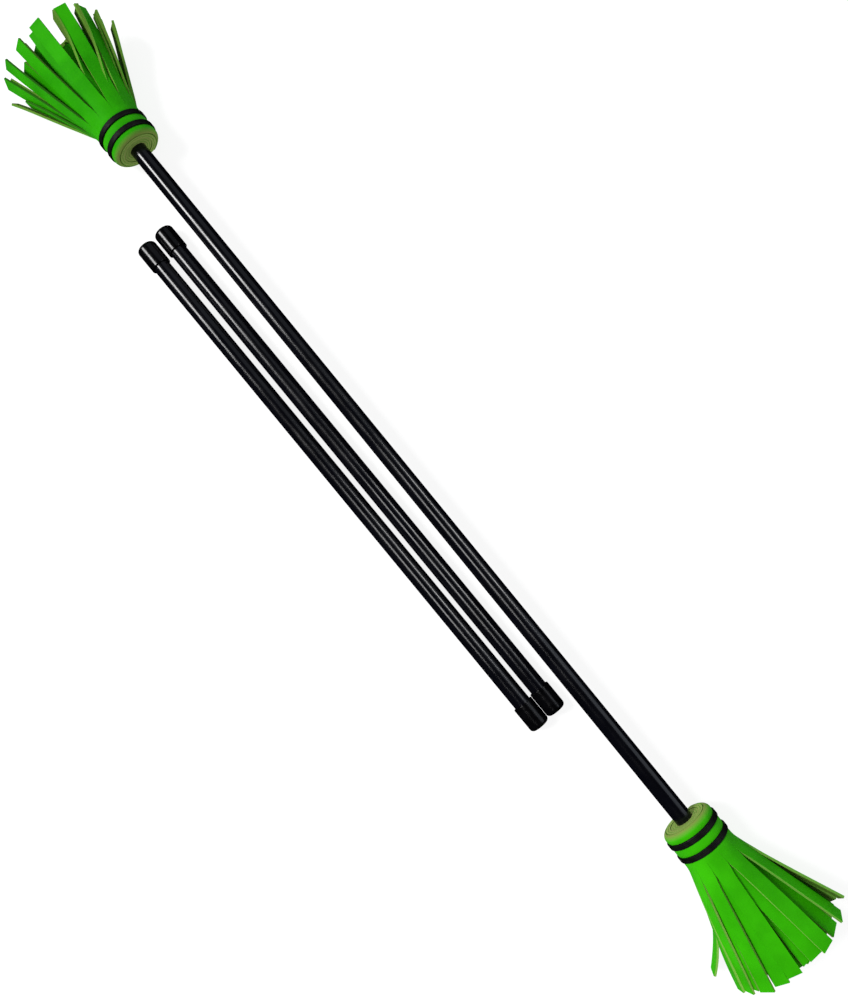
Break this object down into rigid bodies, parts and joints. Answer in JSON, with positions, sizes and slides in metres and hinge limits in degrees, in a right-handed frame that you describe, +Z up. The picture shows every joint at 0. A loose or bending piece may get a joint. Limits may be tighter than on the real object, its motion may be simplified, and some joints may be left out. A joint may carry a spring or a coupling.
{
  "type": "devil stick",
  "caption": "Juggling devil stick: a long grip-sleeved rod with a banded, fringed leather tassel head on each end, and its matching capped hand sticks.",
  "frame": {"origin": "on the surface that the sticks lie on, under the middle of the centre stick", "axes": "+X along the centre stick, +Z up, and the hand sticks lie on its -Y side"},
  "size_m": [0.659, 0.0814, 0.0347],
  "materials": {
    "green_leather": "bright green smooth-grain leather, satin, with khaki cut edges and flesh side",
    "raw_leather": "matt khaki leather, cut edge",
    "band_rubber": "black rubber, satin",
    "rod_wood": "bare beech dowel",
    "grip_silicone": "smooth black silicone, glossy",
    "cap_rubber": "black rubber, semi-gloss"
  },
  "bodies": {
    "centre_stick": {"centre_core_rod": "rod_wood", "centre_grip_sleeve": "grip_silicone", "packing_roll_left": "raw_leather", "packing_roll_right": "raw_leather", "tassel_left": "green_leather", "tassel_right": "green_leather", "inner_band_left": "band_rubber", "outer_band_left": "band_rubber", "inner_band_right": "band_rubber", "outer_band_right": "band_rubber", "tip_cap_left": "cap_rubber", "tip_cap_right": "cap_rubber"},
    "hand_stick_a": {"hand_a_core_rod": "rod_wood", "hand_a_grip_sleeve": "grip_silicone", "hand_a_cap_left": "cap_rubber", "hand_a_cap_right": "cap_rubber"},
    "hand_stick_b": {"hand_b_core_rod": "rod_wood", "hand_b_grip_sleeve": "grip_silicone", "hand_b_cap_left": "cap_rubber", "hand_b_cap_right": "cap_rubber"}
  },
  "joints": [
    {"name": "lift_hand_stick_a", "type": "slide", "parent": "centre_stick", "child": "hand_stick_a", "axis": [0, 0, 1], "range_m": [0, 0.3]},
    {"name": "lift_hand_stick_b", "type": "slide", "parent": "centre_stick", "child": "hand_stick_b", "axis": [0, 0, 1], "range_m": [0, 0.3]}
  ]
}
